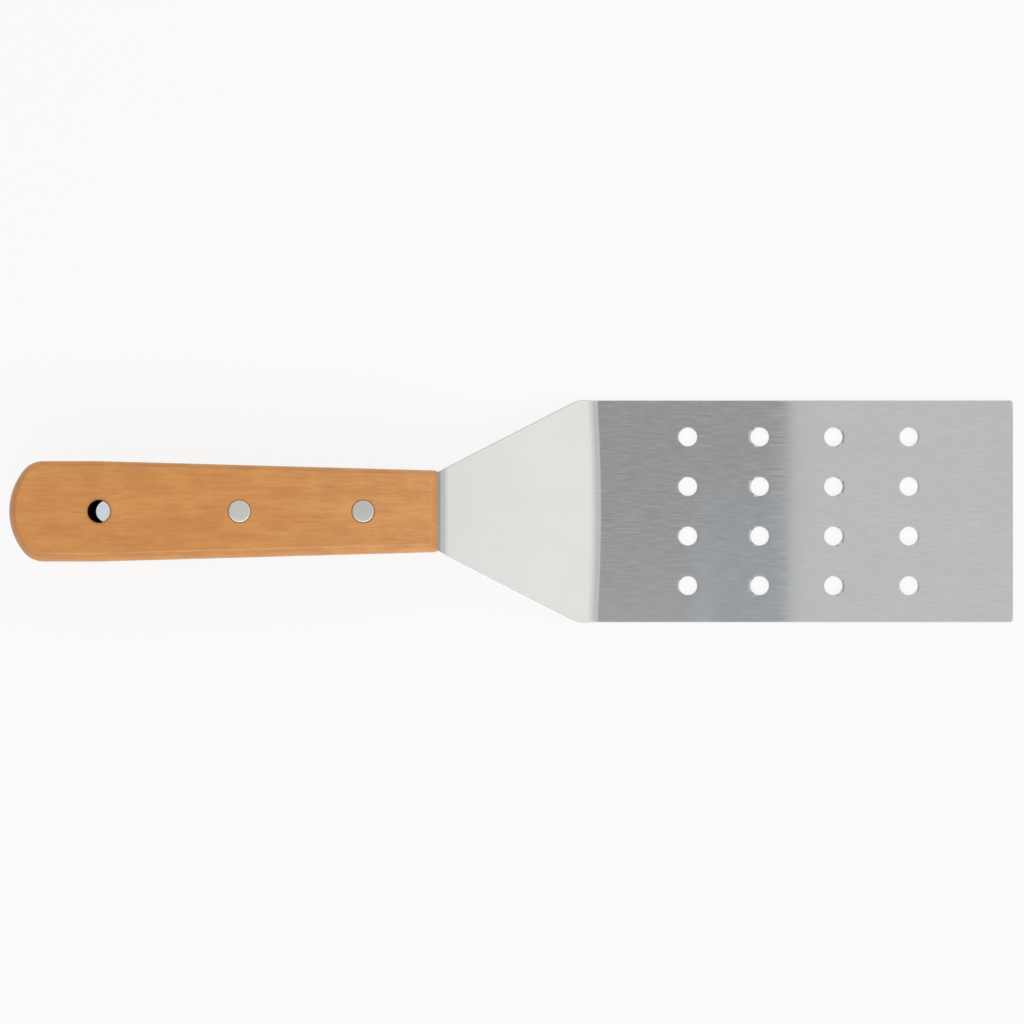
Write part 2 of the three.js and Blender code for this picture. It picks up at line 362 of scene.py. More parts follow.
def stretched_noise(tree, place, cell, detail, offset=0.0):
    """Noise whose cells measure (x, y, z) millimetres; an infinite measure doesn't vary."""
    mapped = add(tree, "ShaderNodeMapping", {
        "Vector": place, "Location": (offset, offset, offset),
        "Scale": tuple(1 / size for size in cell)})
    return add(tree, "ShaderNodeTexNoise", {
        "Vector": mapped, "Scale": 1.0, "Detail": detail, "Roughness": 0.55})


def toned(tree, tint, shades):
    """A colour darkened by patterns, each given by a low and a high value and the tone at each."""
    tone = tuple(tint)
    for pattern, low, high, low_tone, high_tone in shades:
        share = add(tree, "ShaderNodeMapRange", {
            "Value": pattern, "From Min": low, "From Max": high,
            "To Min": low_tone, "To Max": high_tone})
        tone = add(tree, "ShaderNodeVectorMath", {0: tone, "Scale": share}, operation="SCALE")
    return tone


def layered(tree, ground, layers):
    """A colour with others laid over it, each given by a pattern, the values where it starts and
    is fullest, how much it then covers, and its colour."""
    tone = (*ground, 1.0)
    for pattern, start, full, cover, tint in layers:
        share = add(tree, "ShaderNodeMapRange", {
            "Value": pattern, "From Min": start, "From Max": full, "To Max": cover})
        # A Mix node's two colours are its inputs 6 and 7, and their mix is its output 2.
        tone = add(tree, "ShaderNodeMix", {
            "Factor": share, 6: tone, 7: (*tint, 1.0)}, data_type="RGBA").outputs[2]
    return tone


def brushed_stainless(settings):
    """18/10 stainless sheet, belt brushed along its length.

    The eye sees long fine lines along the tool, a highlight spread across them and nearly
    mirror sharp along them, and faint clouds where the belt pressed harder.
    """
    material, tree, place = new_material("Brushed stainless steel")
    # The real lines are about 0.05 mm apart, too fine to show, so they are drawn 0.45 mm apart.
    # They follow the sheet through its bends, so they don't vary with height.
    lines = stretched_noise(tree, place, (8.0, 0.45, math.inf), 3.0)
    clouds = stretched_noise(tree, place, (30.0, 14.0, math.inf), 2.0, 23.0)
    scratches = stretched_noise(tree, place, (4.5, 0.35, math.inf), 3.0, 41.0)
    relief = stretched_noise(tree, place, (40.0, 0.3, math.inf), 2.0, 71.0)

    # A cut edge faces sideways: it is duller and a little darker than the brushed faces.
    normal = add(tree, "ShaderNodeNewGeometry").outputs["Normal"]
    upright = add(tree, "ShaderNodeSeparateXYZ", {0: normal}).outputs["Z"]
    upright = add(tree, "ShaderNodeMath", {0: upright}, operation="ABSOLUTE")
    tone = toned(tree, settings.steel, (
        (lines, 0.3, 0.7, 0.988, 1.0),
        (clouds, 0.35, 0.65, 0.98, 1.0),
        (upright, 0.25, 0.8, 0.72, 1.0)))       # the cut edges
    brushed = add(tree, "ShaderNodeMapRange", {
        "Value": lines, "From Min": 0.35, "From Max": 0.65, "To Min": 0.16, "To Max": 0.09})
    dull = add(tree, "ShaderNodeMapRange", {
        "Value": upright, "From Min": 0.25, "From Max": 0.8, "To Min": 0.2, "To Max": 0.0})
    rough = add(tree, "ShaderNodeMath", {0: brushed, 1: dull}, operation="ADD")

    bump = add(tree, "ShaderNodeBump", {"Height": relief, "Strength": 0.1, "Distance": 0.01 * MM})
    across = add(tree, "ShaderNodeCombineXYZ", {"Y": 1.0})
    metal = add(tree, "ShaderNodeBsdfPrincipled", {
        "Base Color": tone, "Metallic": 1.0, "Roughness": rough, "Anisotropic": 1.0,
        "Tangent": across, "Normal": bump})
    # Deeper scratches scatter a little light from all round, which shows where the sheet
    # mirrors something dark.
    scatter = add(tree, "ShaderNodeMapRange", {
        "Value": scratches, "From Min": 0.45, "From Max": 0.70, "To Max": 0.095})
    haze = add(tree, "ShaderNodeBsdfDiffuse", {"Color": (*settings.haze, 1.0)})
    both = add(tree, "ShaderNodeMixShader", {0: scatter, 1: metal, 2: haze})
    add(tree, "ShaderNodeOutputMaterial", {"Surface": both})
    return material


def oiled_beech(settings):
    """Steamed beech, sanded along the grain and oiled.

    The eye sees a warm tan, paler towards the blade, with long soft bands, fine streaks, short
    darker ray flecks, darker end grain at both ends, and a satin finish. The butt's end grain is
    darkened further as painted shade, and painted shade rings the hanging hole's rim.
    """
    material, tree, place = new_material("Oiled beech")
    bands = stretched_noise(tree, place, (60.0, 5.0, 5.0), 3.0)
    streaks = stretched_noise(tree, place, (8.0, 0.7, 0.7), 4.0, 11.0)
    flecks = stretched_noise(tree, place, (2.4, 0.35, 0.7), 1.0, 37.0)
    blotches = stretched_noise(tree, place, (11.0, 5.0, 5.0), 2.0, 53.0)
    along = add(tree, "ShaderNodeSeparateXYZ", {0: place}).outputs["X"]
    normal = add(tree, "ShaderNodeNewGeometry").outputs["Normal"]
    facing = add(tree, "ShaderNodeSeparateXYZ", {0: normal}).outputs["X"]
    from_hole = add(tree, "ShaderNodeVectorMath", {
        0: place, 1: (HANGING_HOLE_X / MM, 0.0, 0.0)}, operation="SUBTRACT")
    in_plan = add(tree, "ShaderNodeVectorMath", {
        0: from_hole, 1: (1.0, 1.0, 0.0)}, operation="MULTIPLY")
    away = add(tree, "ShaderNodeVectorMath", {0: in_plan}, operation="LENGTH").outputs["Value"]
    hole_rim = settings.hole_diameter / 2 / MM
    wood = layered(tree, settings.wood, (
        # The wood is made paler towards the blade.
        (along, settings.front_tone_start / MM, HANDLE_HIGH.x / MM, 0.65, settings.front_tone),
        (bands, 0.35, 0.68, 0.3, settings.grain),
        (streaks, 0.40, 0.70, 0.45, settings.grain),
        (blotches, 0.38, 0.66, 0.35, settings.grain),
        (flecks, 0.60, 0.74, 0.24, settings.fleck),
        # End grain is darker at both ends; the butt's is darkened further as painted shade.
        (facing, -0.3, -0.95, 0.7, settings.fleck),      # end grain at the butt
        (facing, 0.7, 0.98, 0.3, settings.fleck),        # end grain at the front
        # Painted shade round the hanging hole's rim, where the wood turns down into the hole.
        (away, hole_rim + 1.0, hole_rim + 0.2, 0.6, settings.fleck)))       # the hole's halo

    relief = add(tree, "ShaderNodeMath", {0: streaks, 1: flecks}, operation="ADD")
    bump = add(tree, "ShaderNodeBump", {"Height": relief, "Strength": 0.2, "Distance": 0.05 * MM})
    rough = add(tree, "ShaderNodeMapRange", {
        "Value": streaks, "From Min": 0.35, "From Max": 0.7, "To Min": 0.42, "To Max": 0.52})
    shader = add(tree, "ShaderNodeBsdfPrincipled", {
        "Base Color": wood, "Roughness": rough, "IOR": 1.5, "Coat Weight": 0.8,
        "Coat Roughness": 0.35, "Normal": bump})
    add(tree, "ShaderNodeOutputMaterial", {"Surface": shader})
    return material


def hole_wall_painted_shade(settings):
    """The hanging hole's wall as painted shade: near black, faintly mottled, with no shine."""
    material, tree, place = new_material("Burnt beech")
    mottle = stretched_noise(tree, place, (0.8, 0.8, 3.0), 2.0, 3.0)
    # Painted shade: the wall is made near black with faint mottling.
    black = layered(tree, from_hex("000000"), ((mottle, 0.4, 0.7, 1.0, settings.char),))
    shader = add(tree, "ShaderNodeBsdfPrincipled", {
        "Base Color": black, "Roughness": 0.95, "Specular IOR Level": 0.0})
    add(tree, "ShaderNodeOutputMaterial", {"Surface": shader})
    return material


def sanded_rivet_metal(settings):
    """Aluminium rivets, belt sanded flush with the wood.

    The eye sees a dull grey disc with faint parallel scratches and a brighter round rim. The
    rear rivet is made brighter than the front one.
    """
    material, tree, place = new_material("Sanded aluminium")
    scratches = stretched_noise(tree, place, (3.5, 0.12, math.inf), 2.0, 5.0)
    along = add(tree, "ShaderNodeSeparateXYZ", {0: place}).outputs["X"]
    tone = toned(tree, settings.metal, (
        (scratches, 0.3, 0.7, 0.92, 1.0),
        (along, REAR_RIVET_X / MM, FRONT_RIVET_X / MM, 1.0, 0.89)))
    rough = add(tree, "ShaderNodeMapRange", {
        "Value": scratches, "From Min": 0.3, "From Max": 0.7, "To Min": 0.5, "To Max": 0.42})
    bump = add(tree, "ShaderNodeBump", {
        "Height": scratches, "Strength": 0.15, "Distance": 0.02 * MM})
    shader = add(tree, "ShaderNodeBsdfPrincipled", {
        "Base Color": tone, "Metallic": 1.0, "Roughness": rough, "Normal": bump})
    add(tree, "ShaderNodeOutputMaterial", {"Surface": shader})
    return material


# ---------------------------------------------------------------- blade

class Bend:
    """The middle of the sheet, seen from the side: tang, mouth bend, neck, heel bend, blade."""

    def __init__(self, settings):
        half = settings.sheet / 2
        self.tang_z = BLADE_HIGH.z - half
        mouth_x = HANDLE_HIGH.x + settings.mouth_reach
        self.angle = math.atan2(self.tang_z - half, settings.heel_x - mouth_x)
        self.heel_radius = settings.heel_radius
        self.mouth_radius = settings.mouth_radius
        self.heel_x = settings.heel_x + self.heel_radius * math.tan(self.angle / 2)
        self.heel_z = half + self.heel_radius
        self.mouth_x = mouth_x - self.mouth_radius * math.tan(self.angle / 2)
        self.mouth_z = self.tang_z - self.mouth_radius
        self.neck_low_x = self.heel_x - self.heel_radius * math.sin(self.angle)
        self.neck_high_x = self.mouth_x + self.mouth_radius * math.sin(self.angle)
        self.neck_low_z = self.heel_z - self.heel_radius * math.cos(self.angle)

    def height(self, x):
        """Height of the middle of the sheet at each x."""
        in_heel = np.clip(x - self.heel_x, -self.heel_radius, 0)
        in_mouth = np.clip(x - self.mouth_x, 0, self.mouth_radius)
        return np.select(
            [x >= self.heel_x, x >= self.neck_low_x, x >= self.neck_high_x, x >= self.mouth_x],
            [self.heel_z - self.heel_radius,
             self.heel_z - np.sqrt(self.heel_radius ** 2 - in_heel ** 2),
             self.neck_low_z + (self.neck_low_x - x) * math.tan(self.angle),
             self.mouth_z + np.sqrt(self.mouth_radius ** 2 - in_mouth ** 2)],
            self.tang_z)

    def slope(self, x):
        """Rise of the sheet per metre of x."""
        step = 1e-5
        return (self.height(x + step) - self.height(x - step)) / (2 * step)


def blank_half_width(x, settings):
    """Half the blank's width at x, from above, its corners eased over a millimetre each way."""
    knots = [HANDLE_HIGH.x - settings.tang_taper, HANDLE_HIGH.x, settings.shoulder_x]
    widths = [settings.tang_width / 2, settings.mouth_width / 2, BLADE_HIGH.y]
    half = np.mean([np.interp(x + shift, knots, widths)
                    for shift in np.linspace(-1.0, 1.0, 9) * MM])
    for end, radius in ((BLADE_HIGH.x, settings.tip_corner), (BLADE_LOW.x, settings.tang_corner)):
        past = max(0.0, radius - abs(x - end))
        half -= radius - math.sqrt(max(0.0, radius ** 2 - past ** 2))
    return half


def grid_lines(low, high, centres, cell, spacing):
    """Lines from low to high: even ones, and over a punched cell at each centre the lines
    that meet its round hole at even angles."""
    over_cell = cell * np.tan(np.radians(np.linspace(-45, 45, CELL_STEPS + 1)))
    lines, at = [], low
    for centre in centres:
        steps = max(1, round((centre - cell - at) / spacing))
        lines += [np.linspace(at, centre - cell, steps + 1)[:-1], (centre + over_cell)[:-1]]
        at = centre + cell
    steps = max(1, round((high - at) / spacing))
    return np.concatenate(lines + [np.linspace(at, high, steps + 1)])


def hole_columns(settings):
    """Centres of the columns of perforations along the blade."""
    steps = np.arange(settings.columns)
    return settings.column_x + settings.column_pitch * steps + settings.column_growth * steps ** 2


def hole_rows(settings):
    """Centres of the rows of perforations across the blade."""
    return (np.arange(settings.rows) - (settings.rows - 1) / 2) * settings.row_pitch


def blade_stations(settings, bend):
    """Where the blank is cut into rings along X, closest in the bends and at both ends."""
    tip, end = BLADE_HIGH.x, BLADE_LOW.x
    ease, corner, tang_corner = settings.edge_round, settings.tip_corner, settings.tang_corner
    heel_end = bend.heel_x + settings.heel_bow
    tang_start, tang_stop = end + tang_corner, HANDLE_HIGH.x - settings.tang_taper - 1.5 * MM
    quarter = 1 - np.sin(np.linspace(0, math.pi / 2, 9))
    parts = [
        end + tang_corner * quarter,
        end + ease * quarter,
        grid_lines(tang_start, tang_stop, [REAR_RIVET_X, FRONT_RIVET_X], TANG_CELL,
                   GRID_SPACING),
        np.linspace(tang_stop, bend.mouth_x, 9),
        np.linspace(bend.mouth_x, bend.neck_high_x, 9),
        np.linspace(bend.neck_high_x, bend.neck_low_x, 26),
        np.linspace(bend.neck_low_x, heel_end, 24),
        grid_lines(heel_end, tip - corner, hole_columns(settings), BLADE_CELL, GRID_SPACING),
        tip - corner * quarter,
        tip - ease * quarter,
    ]
    return np.unique(np.round(np.concatenate(parts), 8))


def blank_lines(settings):
    """Lines along the blank as shares of its half width: those of the blade, and of the tang."""
    edge = BLADE_HIGH.y - settings.edge_round
    blade = grid_lines(-edge, edge, hole_rows(settings), BLADE_CELL, GRID_SPACING)
    edge_tang = settings.tang_width / 2 - settings.edge_round
    spare = (len(blade) - CELL_STEPS - 1) // 2
    tang = grid_lines(-edge_tang, edge_tang, [0.0], TANG_CELL, (edge_tang - TANG_CELL) / spare)
    return blade / edge, tang / edge_tang


def blank_section(x, lines, settings, bend):
    """The ring of points round the sheet at one station."""
    ease = settings.edge_round
    into = max(0.0, ease - min(x - BLADE_LOW.x, BLADE_HIGH.x - x))
    half_sheet = settings.sheet / 2 - ease + math.sqrt(max(0.0, ease ** 2 - into ** 2))
    edge = blank_half_width(x, settings) - ease
    in_tang = np.clip((HANDLE_HIGH.x - x) / settings.tang_taper, 0, 1)
    shares = lines[0] * (1 - in_tang) + lines[1] * in_tang
    top = [(share * edge, half_sheet) for share in shares]
    right = arc((edge, half_sheet - ease), ease, 90, 0, 4)[1:]
    right += arc((edge, ease - half_sheet), ease, 0, -90, 4)[:-1]
    bottom = [(-y, -offset) for y, offset in top]
    left = [(-y, -offset) for y, offset in right]
    across, offset = np.array(top + right + bottom + left).T
    # The bend line bows towards the tip in the middle of the blade, and is straight where the
    # sheet meets the handle.
    fade = np.clip((x - bend.neck_high_x) / (bend.neck_low_x - bend.neck_high_x), 0, 1)
    bow = settings.heel_bow * fade * (1 - (across / BLADE_HIGH.y) ** 2)
    height, slope = bend.height(x - bow), bend.slope(x - bow)
    turn = np.arctan(slope)
    return np.stack([x - offset * np.sin(turn), across, height + offset * np.cos(turn)], axis=1)


def punched_cell(name, cell, radius, ease, sheet):
    """A square of sheet with a round hole: upper face, rounded rim, wall, rim and lower face."""
    angles = np.radians(np.arange(4 * CELL_STEPS) * 90 / CELL_STEPS)
    round_ring = np.stack([np.cos(angles), np.sin(angles)], axis=1)
    square_ring = round_ring / np.abs(round_ring).max(axis=1, keepdims=True)
    half = sheet / 2
    rims = [(radius + ease * (1 - math.sin(a)), half - ease * (1 - math.cos(a)))
            for a in np.linspace(0, math.pi / 2, 5)]
    rings = [(square_ring * cell, half)]
    for share in (0.6, 0.25):       # the square turns round on its way in to the hole
        flat = square_ring * cell * share + round_ring * (radius + ease) * (1 - share)
        rings.append((flat, half))
    rings += [(round_ring * reach, height) for reach, height in rims]
    rings += [(flat, -height) for flat, height in rings[::-1]]
    points = [np.column_stack([flat, np.full(len(flat), height)]) for flat, height in rings]
    return make_object(name, loft(name, points, capped=False))


def punch_group():
    """Node group that swaps squares of a flat sheet for punched ones, in columns and rows."""
    tree = new_group("Punched holes", {
        "Cell": "NodeSocketObject", "Half cell": "NodeSocketFloat",
        "First X": "NodeSocketFloat", "Pitch": "NodeSocketFloat",
        "Pitch growth": "NodeSocketFloat", "Row pitch": "NodeSocketFloat",
        "Columns": "NodeSocketInt", "Rows": "NodeSocketInt",
        "Sheet height": "NodeSocketFloat", "Material": "NodeSocketMaterial"})
    given = add(tree, "NodeGroupInput").outputs

    # One point for each hole, numbered up the rows of one column and on to the next column.
    count = add(tree, "ShaderNodeMath", {
        0: given["Columns"], 1: given["Rows"]}, operation="MULTIPLY")
    points = add(tree, "GeometryNodePoints", {"Count": count})
    index = add(tree, "GeometryNodeInputIndex")
    column = add(tree, "ShaderNodeMath", {0: index, 1: given["Rows"]}, operation="DIVIDE")
    column = add(tree, "ShaderNodeMath", {0: column}, operation="FLOOR")
    row = add(tree, "ShaderNodeMath", {0: index, 1: given["Rows"]}, operation="MODULO")

    # The pitch of the columns grows towards the tip, and the rows are centred on the sheet.
    grown = add(tree, "ShaderNodeMath", {
        0: column, 1: given["Pitch growth"], 2: given["Pitch"]}, operation="MULTIPLY_ADD")
    x = add(tree, "ShaderNodeMath", {
        0: column, 1: grown, 2: given["First X"]}, operation="MULTIPLY_ADD")
    middle = add(tree, "ShaderNodeMath", {
        0: given["Rows"], 1: 0.5, 2: -0.5}, operation="MULTIPLY_ADD")
    from_middle = add(tree, "ShaderNodeMath", {0: row, 1: middle}, operation="SUBTRACT")
    y = add(tree, "ShaderNodeMath", {
        0: from_middle, 1: given["Row pitch"]}, operation="MULTIPLY")
    place = add(tree, "ShaderNodeCombineXYZ", {"X": x, "Y": y, "Z": given["Sheet height"]})
    centres = add(tree, "GeometryNodeSetPosition", {"Geometry": points, "Position": place})

    # The sheet's faces inside the cells are taken out, and a punched cell goes in each place.
    nearest = add(tree, "GeometryNodeProximity", {0: centres}, target_element="POINTS")
    here = add(tree, "GeometryNodeInputPosition")
    apart = add(tree, "ShaderNodeVectorMath", {
        0: here, 1: nearest.outputs["Position"]}, operation="SUBTRACT")
    apart = add(tree, "ShaderNodeVectorMath", {0: apart}, operation="ABSOLUTE")
    apart = add(tree, "ShaderNodeSeparateXYZ", {0: apart}).outputs
    furthest = add(tree, "ShaderNodeMath", {0: apart["X"], 1: apart["Y"]}, operation="MAXIMUM")
    inside = add(tree, "ShaderNodeMath", {
        0: furthest, 1: given["Half cell"]}, operation="LESS_THAN")
    opened = add(tree, "GeometryNodeDeleteGeometry", {
        "Geometry": given["Geometry"], "Selection": inside}, domain="FACE")
    cell = add(tree, "GeometryNodeObjectInfo", {"Object": given["Cell"]}).outputs["Geometry"]
    placed = add(tree, "GeometryNodeInstanceOnPoints", {"Points": centres, "Instance": cell})
    joined = add(tree, "GeometryNodeJoinGeometry", {0: opened})
    tree.links.new(placed.outputs[0], joined.inputs[0])
    real = add(tree, "GeometryNodeRealizeInstances", {0: joined})
    whole = add(tree, "GeometryNodeMergeByDistance", {"Geometry": real, "Distance": WELD})
    done = add(tree, "GeometryNodeSetMaterial", {
        "Geometry": whole, "Material": given["Material"]})
    add(tree, "NodeGroupOutput", {0: done})
    return tree


class TURNER_OT_blade(bpy.types.Operator):
    """Make the blade, neck and tang from one bent and punched stainless sheet"""

    bl_idname = "grill_turner.blade"
    bl_label = "Turner Blade"

    def execute(self, context):
        settings = context.scene.turner_blade
        steel = brushed_stainless(settings)
        bend = Bend(settings)
        lines = blank_lines(settings)
        blank = make_object("blade", loft("blade", [
            blank_section(x, lines, settings, bend) for x in blade_stations(settings, bend)]))
        perforation = punched_cell(
            "perforation", BLADE_CELL, settings.hole_diameter / 2, settings.hole_deburr,
            settings.sheet)
        rivet_hole = punched_cell(
            "rivet_hole", TANG_CELL, settings.rivet_hole / 2, settings.hole_deburr, settings.sheet)
        punch = punch_group()
        run_group(blank, punch, {
            "Cell": perforation, "Half cell": BLADE_CELL,
            "First X": settings.column_x, "Pitch": settings.column_pitch,
            "Pitch growth": settings.column_growth, "Row pitch": settings.row_pitch,
            "Columns": settings.columns, "Rows": settings.rows,
            "Sheet height": settings.sheet / 2, "Material": steel})
        run_group(blank, punch, {
            "Cell": rivet_hole, "Half cell": TANG_CELL,
            "First X": REAR_RIVET_X, "Pitch": FRONT_RIVET_X - REAR_RIVET_X,
            "Pitch growth": 0.0, "Row pitch": 0.0, "Columns": 2, "Rows": 1,
            "Sheet height": bend.tang_z, "Material": steel})
        punched = baked_in(blank, "blade")
        bpy.data.objects.remove(perforation)
        bpy.data.objects.remove(rivet_hole)
        stand_for(shaded(punched, 40), "brushed_stainless", "turner_blade")
        return {"FINISHED"}


# ---------------------------------------------------------------- handle

def handle_loop(inset, settings):
    """The handle's outline from above, moved in by a share of its edge's width, and that width.

    The outline is a straight taper that runs parallel from the hanging hole back, and a round
    butt whose arc meets the sides through a smaller one.
    """
    butt_half, front_half = HANDLE_HIGH.y, settings.front_width / 2
    large, small, corner = settings.butt_radius, settings.butt_shoulder, settings.front_corner
    shoulder_y = butt_half - small
    turn = math.asin(shoulder_y / (large - small))
    centre_x = HANDLE_LOW.x + large
    shoulder_x = centre_x - (large - small) * math.cos(turn)

    def width_at(normal):
        end = settings.butt_chamfer if normal[0] < 0 else settings.front_chamfer
        side = settings.back_chamfer if normal[1] > 0 else settings.near_chamfer
        return end * normal[0] ** 2 + side * normal[1] ** 2

    def round_part(x, y, radius, start, end, steps, moved=inset):
        points = []
        for angle in np.radians(np.linspace(start, end, steps + 1)):
            normal = (math.cos(angle), math.sin(angle))
            reach = radius - moved * width_at(normal)
            points.append((x + reach * normal[0], y + reach * normal[1], width_at(normal)))
        return points

    def front_part(sign):
        # The corner tightens as the loop moves in, so that the loops never cross.
        width = width_at((0, sign))
        back, aside = inset * settings.front_chamfer, inset * width
        radius = max(corner - max(back, aside), 0.05 * MM)
        corner_x, corner_y = HANDLE_HIGH.x - back - radius, front_half - aside - radius
        stations = np.concatenate([np.linspace(corner_x, HANGING_HOLE_X, 41),
                                   np.linspace(HANGING_HOLE_X, shoulder_x, 7)[1:-1]])
        half = np.interp(stations, [HANGING_HOLE_X, HANDLE_HIGH.x], [butt_half, front_half])
        return (round_part(corner_x, sign * corner_y, radius, 0, sign * 90, 6, 0.0)[:-1]
                + [(x, sign * (y - aside), width) for x, y in zip(stations, half)])

    turn = math.degrees(turn)
    return np.array(
        front_part(1)
        + round_part(shoulder_x, shoulder_y, small, 90, 180 - turn, 10)
        + round_part(centre_x, 0, large, 180 - turn, 180 + turn, 40)[1:-1]
        + round_part(shoulder_x, -shoulder_y, small, 180 + turn, 270, 10)
        + front_part(-1)[::-1])


def edge_profile():
    """A softened edge from the face to the side, as shares of its width inwards and downwards.

    It is a chamfer of about 45 degrees whose two ends are sanded round. A narrow flat strip of
    the face leads up to it, so that the shading of the edge doesn't spread over the face.
    """
    points, inset, drop = [(1.25, 0.0), (1.0, 0.0)], 1.0, 0.0
    for start, end, width in EDGE_ARCS:
        first = math.radians(start)
        radius = width / (math.sin(math.radians(end)) - math.sin(first))
        for tilt in np.radians(np.linspace(start, end, 6))[1:]:
            points.append((inset - radius * (math.sin(tilt) - math.sin(first)),
                           drop + radius * (math.cos(first) - math.cos(tilt))))
        inset, drop = points[-1]
    return points


def handle_rings(settings):
    """Rings round the handle from its underside to its top, through both softened edges."""
    edge = edge_profile()
    rings = []
    for sign in (-1, 1):
        for inset, drop in edge[::-sign]:
            x, y, width = handle_loop(inset, settings).T
            height = sign * (HANDLE_HALF_HEIGHT - drop * width)
            rings.append(np.stack([x, y, HANDLE_MIDDLE_Z + height], axis=1))
    return rings


def bore_cutter(x, profile, name):
    """A cutter turned from a profile of the upper half, mirrored to the lower half, about x."""
    below = [(radius, -height) for radius, height in profile[::-1]]
    mesh = turned(name, below + profile)
    mesh.transform(Matrix.Translation((x, 0, HANDLE_MIDDLE_Z)))
    return make_object(name, mesh)


def saw_cutter(settings, blade):
    """The saw cut that holds the tang, open at the front and on both sides."""
    half_height = blade.sheet / 2 + settings.saw_gap
    reach = 2 * HANDLE_HIGH.y
    end, past = BLADE_LOW.x - settings.saw_end_gap, HANDLE_HIGH.x + CUT_PAST
    section = [(end, -half_height), (past, -half_height), (past, half_height), (end, half_height)]
    rings = [[(x, y, HANDLE_MIDDLE_Z + z) for x, z in section] for y in (-reach, reach)]
    return make_object("saw_cut", loft("saw_cut", np.array(rings)))


class TURNER_OT_handle(bpy.types.Operator):
    """Make the beech handle with its chamfers, saw cut, rivet bores and hanging hole"""

    bl_idname = "grill_turner.handle"
    bl_label = "Wooden Handle"

    def execute(self, context):
        settings = context.scene.turner_handle
        rivets = context.scene.turner_rivets
        block = make_object("block", loft("block", handle_rings(settings)))
        half, past = HANDLE_HALF_HEIGHT, HANDLE_HALF_HEIGHT + CUT_PAST

        radius, ease = settings.hole_diameter / 2, settings.hole_round
        rim = arc((radius + ease, half - ease), ease, 180, 90, 5)
        hanging = [(radius, half / 2)] + rim + [(radius + ease, past)]

        shank = rivets.tube_diameter / 2 + settings.shank_gap
        head = rivets.head_diameter / 2 + settings.rivet_gap
        seat = STUD_HIGH_Z - HANDLE_MIDDLE_Z - rivets.head_height - settings.seat_gap
        stepped = [(shank, half / 2), (shank, seat), (head, seat), (head, past)]

        cutters = [bore_cutter(HANGING_HOLE_X, hanging, "hanging_bore"),
                   bore_cutter(FRONT_RIVET_X, stepped, "front_bore"),
                   bore_cutter(REAR_RIVET_X, stepped, "rear_bore"),
                   saw_cutter(settings, context.scene.turner_blade)]
        # The hanging hole's wall gets the painted shade material, and the rest gets the wood.
        wood, shadowed = oiled_beech(settings), hole_wall_painted_shade(settings)
        block.data.materials.append(wood)
        for cutter, surface in zip(cutters, (shadowed, wood, wood, wood)):
            cutter.data.materials.append(surface)
            cut = block.modifiers.new(cutter.name, "BOOLEAN")
            cut.operation = "DIFFERENCE"
            cut.solver = "EXACT"
            cut.material_mode = "TRANSFER"
            cut.object = cutter
        handle = baked_in(block, "wooden_handle")
        for cutter in cutters:
            bpy.data.objects.remove(cutter)
        stand_for(shaded(handle, 35), "oiled_beech", "handle")
        return {"FINISHED"}


# ---------------------------------------------------------------- rivets

def rivet_group():
    """Node group that sets a turned rivet half at each rivet's place."""
    tree = new_group("Rivets in a row", {
        "Half": "NodeSocketObject", "First X": "NodeSocketFloat", "Pitch": "NodeSocketFloat",
        "Count": "NodeSocketInt", "Height": "NodeSocketFloat", "Material": "NodeSocketMaterial"})
    given = add(tree, "NodeGroupInput").outputs
    start = add(tree, "ShaderNodeCombineXYZ", {"X": given["First X"], "Z": given["Height"]})
    step = add(tree, "ShaderNodeCombineXYZ", {"X": given["Pitch"]})
    line = add(tree, "GeometryNodeMeshLine", {
        "Count": given["Count"], "Start Location": start, "Offset": step})
    half = add(tree, "GeometryNodeObjectInfo", {"Object": given["Half"]}).outputs["Geometry"]
    placed = add(tree, "GeometryNodeInstanceOnPoints", {"Points": line, "Instance": half})
    real = add(tree, "GeometryNodeRealizeInstances", {0: placed})
    done = add(tree, "GeometryNodeSetMaterial", {"Geometry": real, "Material": given["Material"]})
    add(tree, "NodeGroupOutput", {0: done})
    return tree


def stud_profile(rivets, top):
    """The upper half from its pin's point to its slightly domed head, in (radius, height)."""
    pin, head, ease = rivets.pin_diameter / 2, rivets.head_diameter / 2, rivets.head_round
    under, point = top - rivets.head_height, top - rivets.stud_length
    rim = arc((head - ease, top - rivets.head_dome - ease), ease, 0, 90, 8)
    return ([(AXIS_GAP, point), (pin - rivets.pin_point / 2, point),
             (pin, point + rivets.pin_point), (pin, under),
             (head - BROKEN_EDGE, under), (head, under + BROKEN_EDGE)]
            + rim + [(head / 2, top - rivets.head_dome / 5), (AXIS_GAP, top)])


def socket_profile(rivets, bottom):
    """The lower half from its head's underside up its tube and down its bore."""
    tube, bore = rivets.tube_diameter / 2, rivets.bore_diameter / 2
    head, ease = rivets.head_diameter / 2, rivets.head_round
    over = bottom + rivets.head_height
    end = over + rivets.bore_depth
    mouth = 2 * BROKEN_EDGE
    rim = arc((head - ease, bottom + rivets.head_dome + ease), ease, -90, 0, 8)
    return ([(AXIS_GAP, bottom), (head / 2, bottom + rivets.head_dome / 5)] + rim
            + [(head, over - BROKEN_EDGE), (head - BROKEN_EDGE, over), (tube, over),
               (tube, end - mouth), (tube - mouth, end), (bore + mouth, end),
               (bore, end - mouth), (bore, over), (AXIS_GAP, over)])


